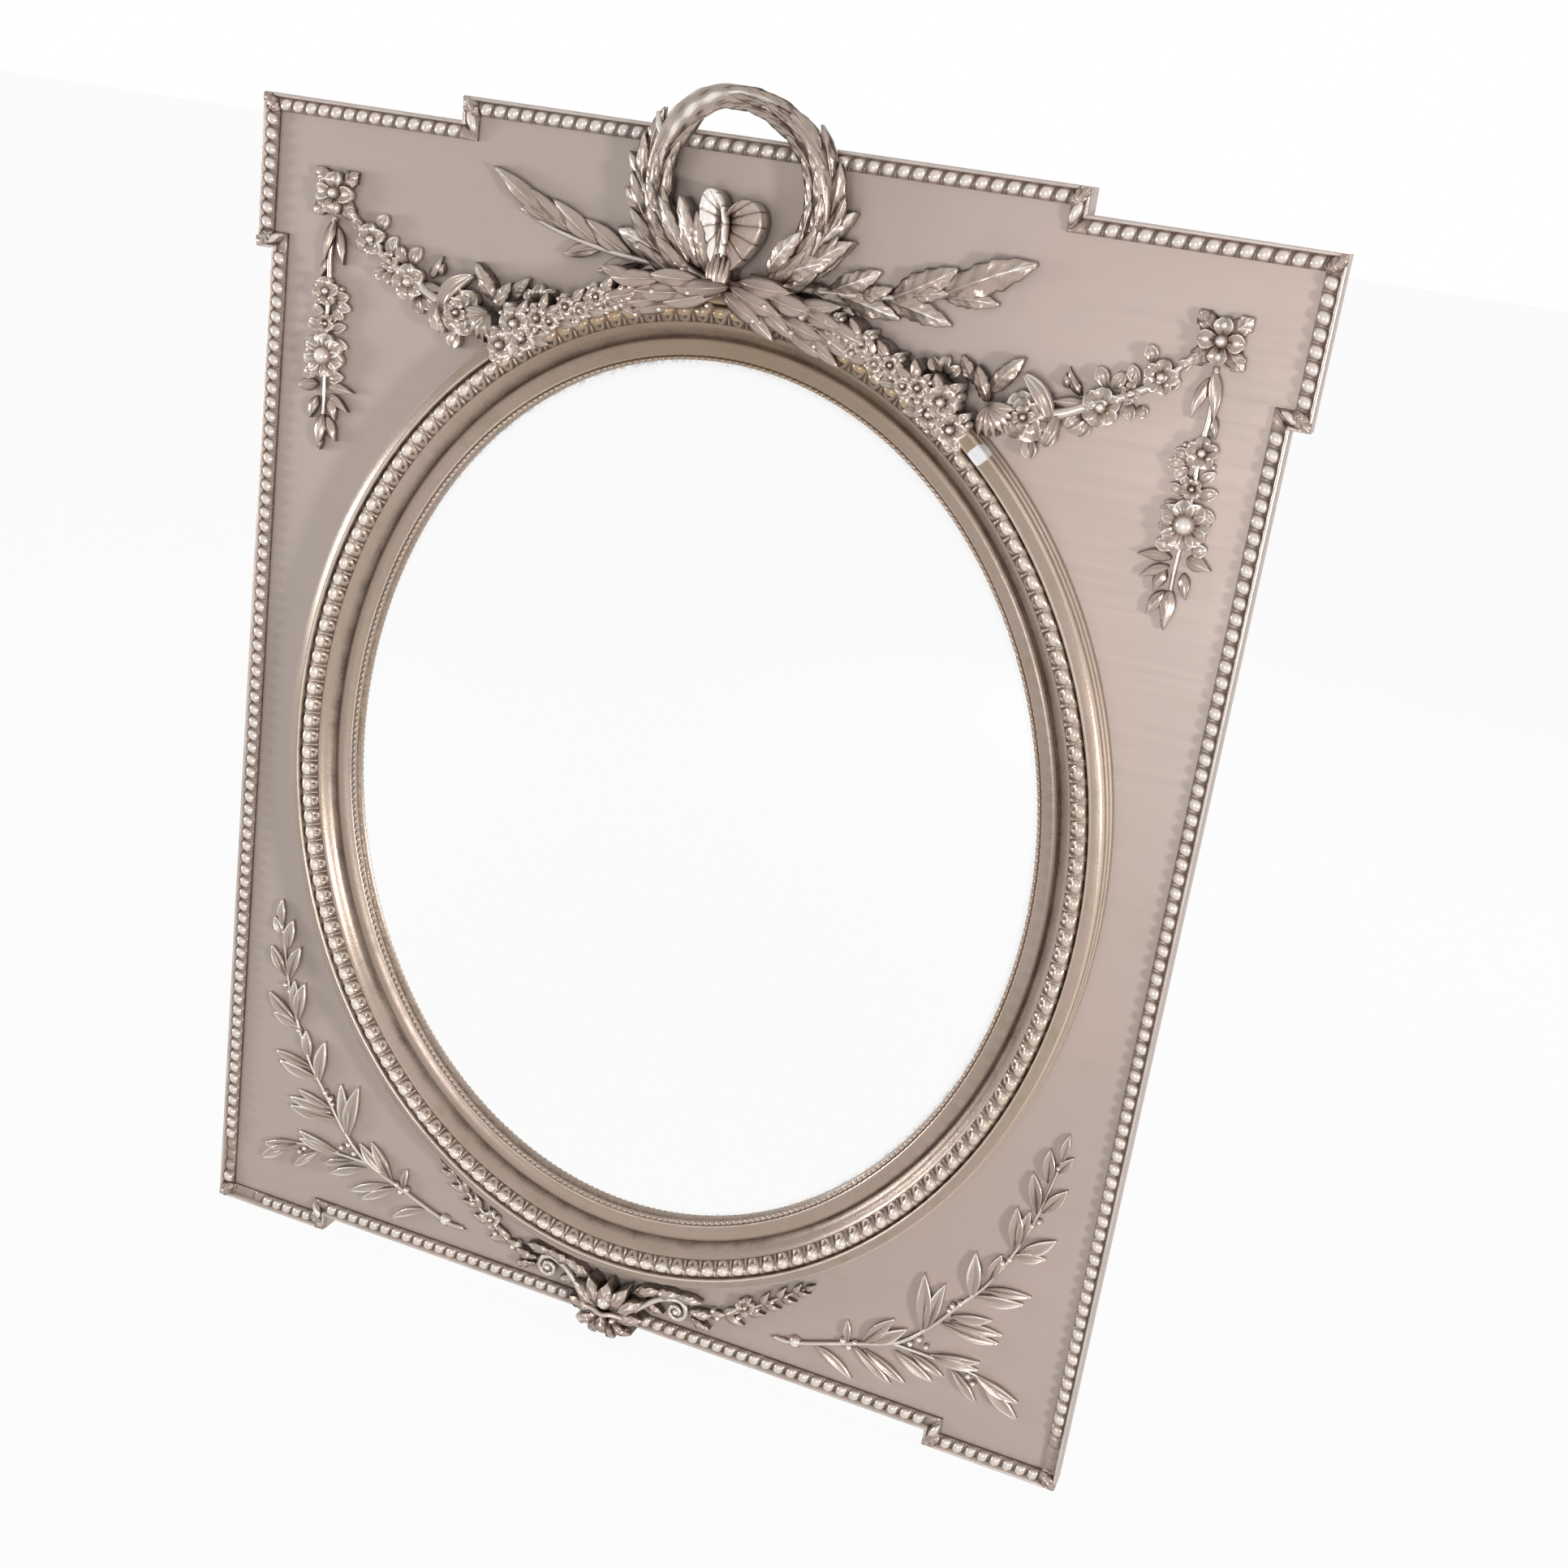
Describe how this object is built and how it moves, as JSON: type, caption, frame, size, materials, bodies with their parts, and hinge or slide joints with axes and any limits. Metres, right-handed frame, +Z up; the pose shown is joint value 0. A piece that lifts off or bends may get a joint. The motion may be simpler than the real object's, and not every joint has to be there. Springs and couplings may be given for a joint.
{
  "type": "wall mirror",
  "caption": "Stepped gilt panel with an oval mirror in a moulded frame, an egg-and-dart border and applied laurel, ribbon and flower carving.",
  "frame": {"origin": "middle of the line between the two hanging keyholes, on the wall plane", "axes": "+Z up, +Y into the wall, +X to the viewer's right"},
  "size_m": [0.88, 0.0705, 1.0973],
  "materials": {
    "gilt_field": "satin silver-gilt leaf on gesso over wood",
    "gilt_border": "satin silver-gilt leaf, brown in the hollows",
    "gilt_oval": "satin olive-gold leaf",
    "gilt_carving": "satin silver-gilt leaf, brown in the hollows",
    "mirror_silvered": "silvered glass",
    "raw_wood": "planed softwood, aged",
    "back_board": "thin plywood, aged",
    "plain_steel": "zinc-plated steel, dull"
  },
  "bodies": {
    "root": {"field_panel": "gilt_field", "border_foot_step_right": "gilt_border", "border_foot_right": "gilt_border", "border_side_right": "gilt_border", "border_ear_return_right": "gilt_border", "border_ear_side_right": "gilt_border", "border_ear_top_right": "gilt_border", "border_top_step_right": "gilt_border", "border_top_centre": "gilt_border", "border_top_step_left": "gilt_border", "border_ear_top_left": "gilt_border", "border_ear_side_left": "gilt_border", "border_ear_return_left": "gilt_border", "border_side_left": "gilt_border", "border_foot_left": "gilt_border", "border_foot_step_left": "gilt_border", "border_bottom_centre": "gilt_border", "oval_frame": "gilt_oval", "sight_bead": "gilt_oval", "oval_egg_course": "gilt_oval", "mirror_glass": "mirror_silvered", "backing_board": "back_board", "backing_board_screws": "plain_steel", "glazing_blocks": "raw_wood", "batten_top": "raw_wood", "batten_bottom": "raw_wood", "batten_left": "raw_wood", "batten_right": "raw_wood", "batten_screws": "plain_steel", "hanger_plate_left": "plain_steel", "hanger_screws_left": "plain_steel", "hanger_plate_right": "plain_steel", "hanger_screws_right": "plain_steel", "laurel_wreath": "gilt_carving", "ribbon_bow": "gilt_carving", "laurel_branch_right": "gilt_carving", "laurel_branch_left": "gilt_carving", "leaf_spray_right": "gilt_carving", "leaf_spray_left": "gilt_carving", "corner_rosette_right": "gilt_carving", "corner_rosette_left": "gilt_carving", "flower_drop_right": "gilt_carving", "flower_drop_left": "gilt_carving", "garland_right": "gilt_carving", "garland_left": "gilt_carving", "olive_sprig_right": "gilt_carving", "olive_sprig_left": "gilt_carving", "base_palmette": "gilt_carving", "base_scroll_right": "gilt_carving", "base_scroll_left": "gilt_carving"}
  },
  "joints": []
}
